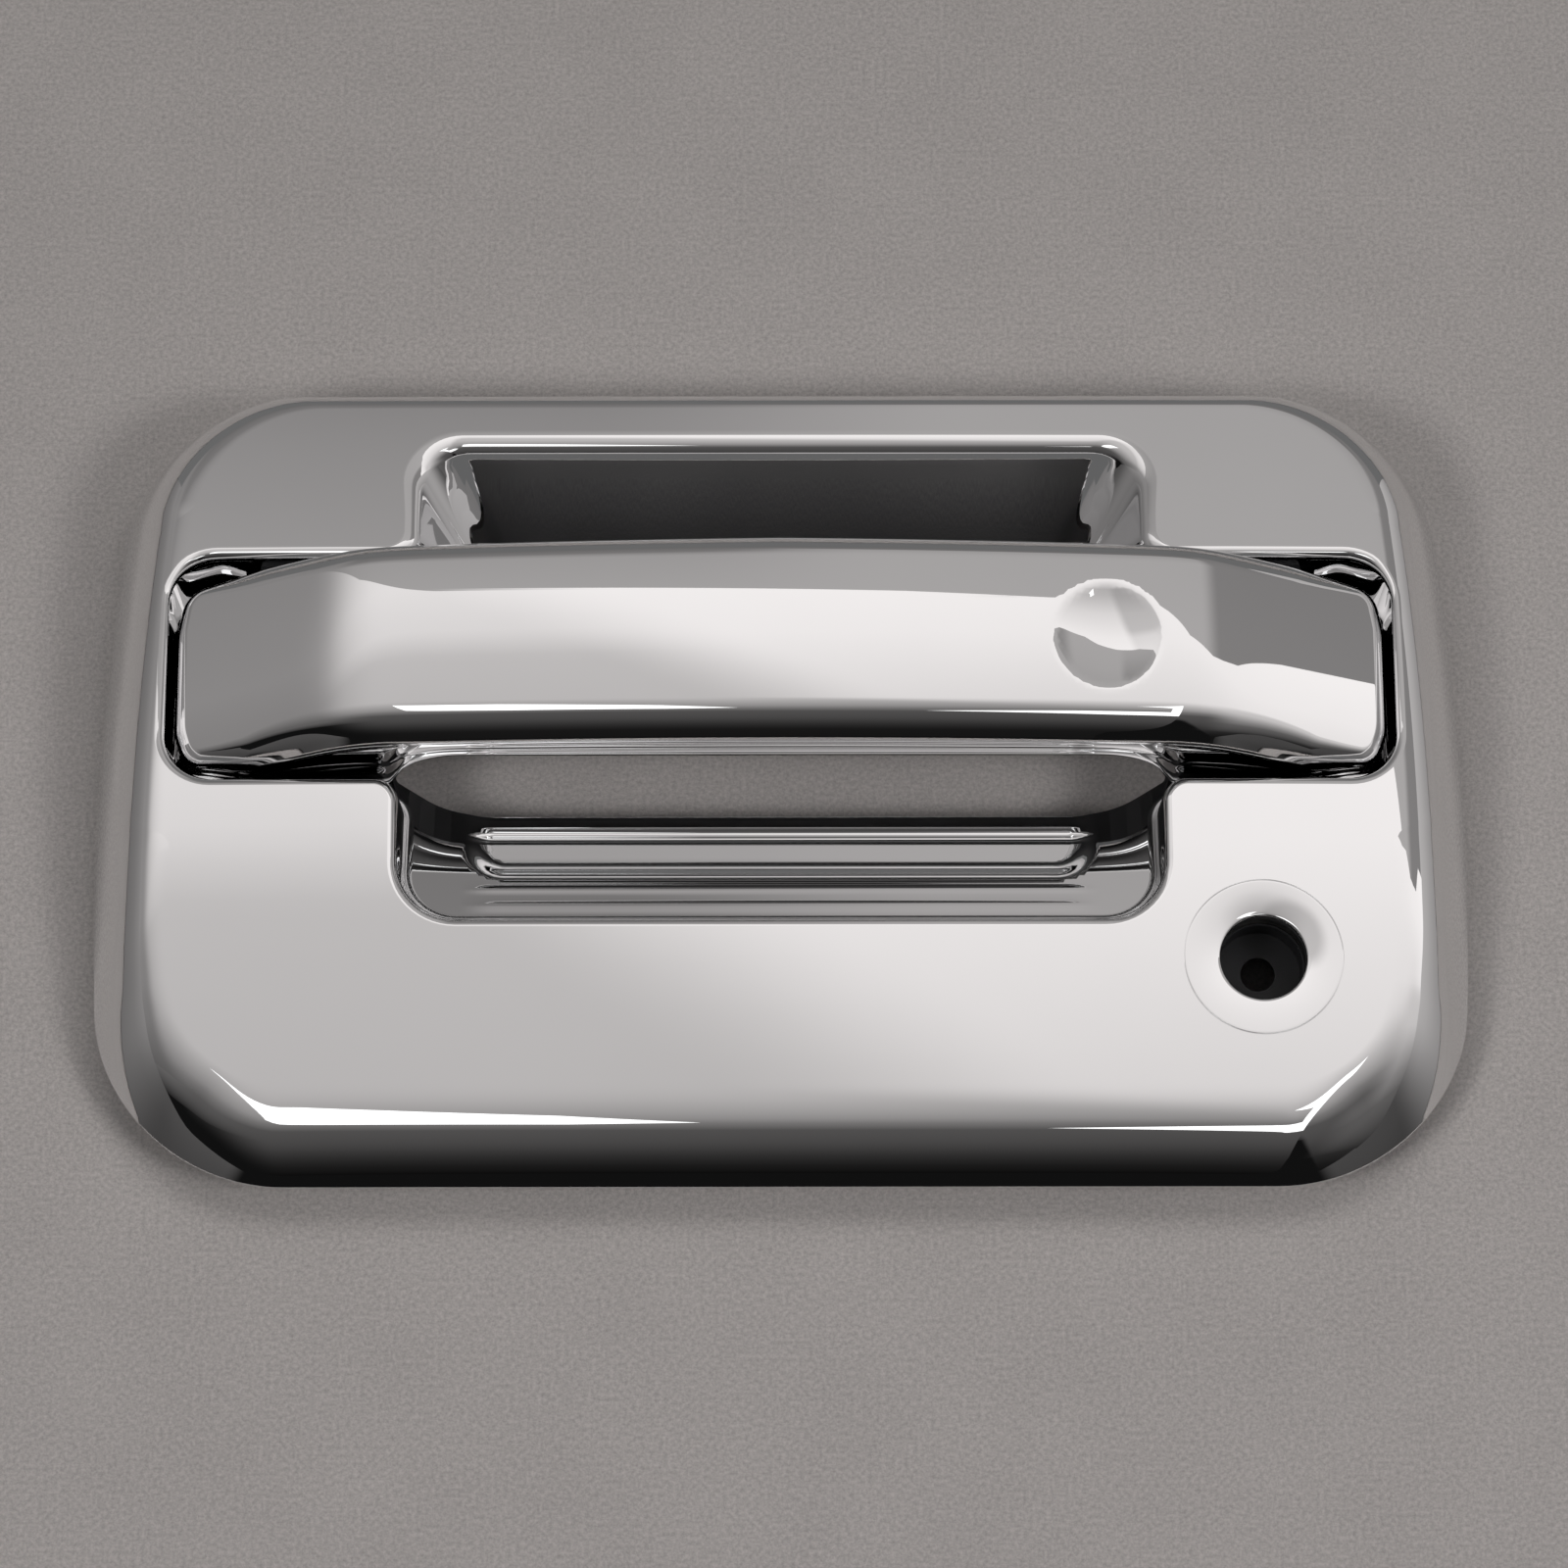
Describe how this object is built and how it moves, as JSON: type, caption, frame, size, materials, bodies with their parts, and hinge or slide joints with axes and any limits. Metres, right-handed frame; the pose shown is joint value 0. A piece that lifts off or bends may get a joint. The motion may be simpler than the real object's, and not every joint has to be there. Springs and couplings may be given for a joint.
{
  "type": "outside door handle",
  "caption": "Bright outside door handle: a rounded surround with a finger window and a key hole, and a pull strap hinged along its top edge that turns a bell crank.",
  "frame": {"origin": "centre of the overall box at the plane of the carrier's feet", "axes": "+X along the door, which is the longest side; +Y up the door; +Z out of the door, towards the hand"},
  "size_m": [0.2398, 0.1494, 0.0405],
  "materials": {
    "bright_chrome": "polished",
    "black_nylon": "matte",
    "core_plastic": "satin",
    "sealing_rubber": "matte",
    "brass": "satin",
    "zinc_steel": "satin",
    "spring_steel": "satin",
    "phosphated_steel": "satin",
    "acetal": "satin",
    "die_casting": "satin",
    "clip_plastic": "satin"
  },
  "bodies": {
    "housing": {"bezel": "bright_chrome", "carrier": "black_nylon", "rim_gasket": "sealing_rubber", "mount_inserts": "brass", "bezel_screws": "phosphated_steel", "bump_stops": "sealing_rubber", "hinge_pin_left": "zinc_steel", "hinge_pin_right": "zinc_steel", "crank_pin": "zinc_steel", "pin_clips": "spring_steel", "lock_sleeve": "black_nylon", "lock_seal": "sealing_rubber", "lock_clip": "spring_steel", "handle_spring": "spring_steel", "crank_spring": "spring_steel"},
    "handle": {"handle_cover": "bright_chrome", "handle_core": "core_plastic", "cover_screws": "phosphated_steel", "pivot_bush_left": "acetal", "pivot_bush_right": "acetal"},
    "crank": {"bell_crank": "die_casting", "counterweight": "die_casting", "weight_rivet": "zinc_steel"},
    "clip": {"rod_clip": "clip_plastic"}
  },
  "joints": [
    {"name": "handle_pull", "type": "hinge", "parent": "housing", "child": "handle", "pos_m": [0, 0.0445, 0.014], "axis": [-1, 0, 0], "range_deg": [0, 18], "stiffness_Nm_per_rad": 0.35, "springref_deg": -20.05, "deforming": ["handle_spring"]},
    {"name": "crank_turn", "type": "hinge", "parent": "housing", "child": "crank", "pos_m": [-0.0885, 0.0575, 0.01], "axis": [1, 0, 0], "range_deg": [0, 19.5], "stiffness_Nm_per_rad": 0.05, "springref_deg": -17.19, "deforming": ["crank_spring"]},
    {"name": "clip_swivel", "type": "hinge", "parent": "crank", "child": "clip", "pos_m": [-0.0915, 0.064, 0.01], "axis": [1, 0, 0], "range_deg": [-30, 30]}
  ],
  "couplings": [
    {"joint": "crank_turn", "follows": "handle_pull", "ratio": 1.05}
  ]
}
